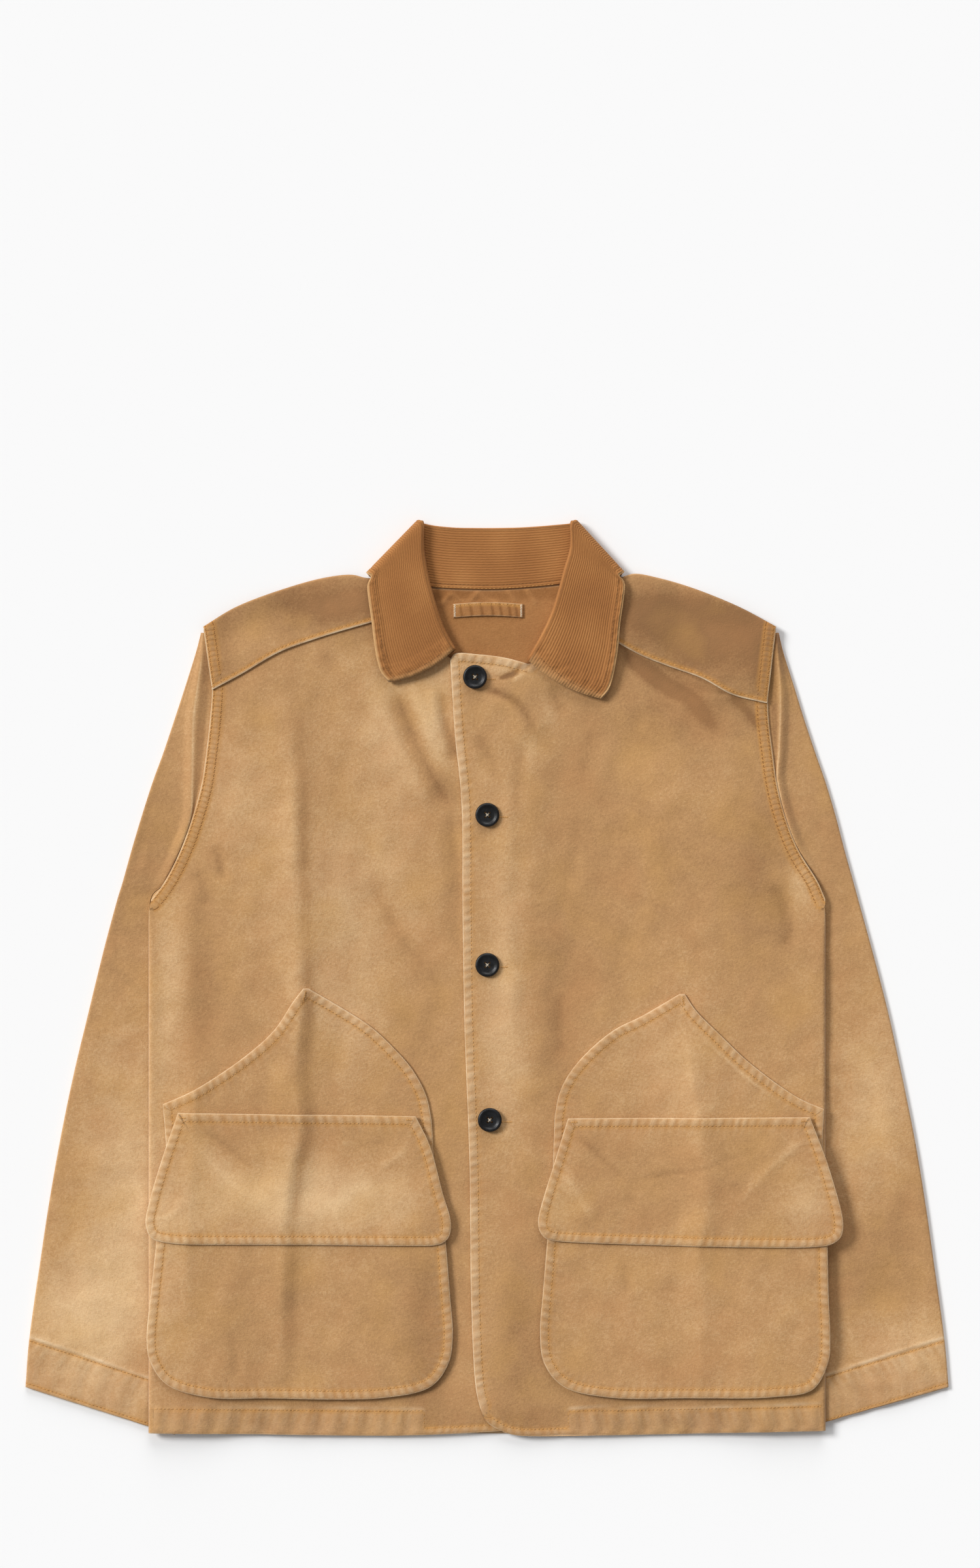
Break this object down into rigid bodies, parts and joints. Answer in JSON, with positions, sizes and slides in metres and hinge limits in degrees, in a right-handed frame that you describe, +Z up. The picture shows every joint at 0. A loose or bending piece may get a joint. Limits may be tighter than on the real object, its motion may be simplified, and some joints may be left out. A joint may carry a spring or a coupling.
{
  "type": "hunting jacket",
  "caption": "Tan canvas hunting jacket with a corduroy collar, buttoned and laid flat front up, with pointed hand-warmer pockets under flapped cargo pockets.",
  "frame": {"origin": "middle of the bounding box, on the surface that the jacket lies on", "axes": "+X towards the wearer's left side, +Y from the hem to the collar, +Z up out of the front"},
  "size_m": [0.7782, 0.7724, 0.0156],
  "materials": {
    "canvas": "washed cotton duck canvas, faded",
    "corduroy": "brown cotton corduroy, soft nap",
    "button": "polished dark horn-like resin",
    "thread": "ochre cotton topstitching thread"
  },
  "bodies": {
    "root": {"back": "canvas", "front_right": "canvas", "front_left": "canvas", "yoke": "canvas", "sleeve_right": "canvas", "sleeve_left": "canvas", "collar": "corduroy", "under_collar": "canvas", "pocket_right": "canvas", "pocket_left": "canvas", "cargo_right": "canvas", "cargo_left": "canvas", "flap_right": "canvas", "flap_left": "canvas", "hanger_loop": "canvas", "button_1": "button", "button_2": "button", "button_3": "button", "button_4": "button"}
  },
  "joints": []
}
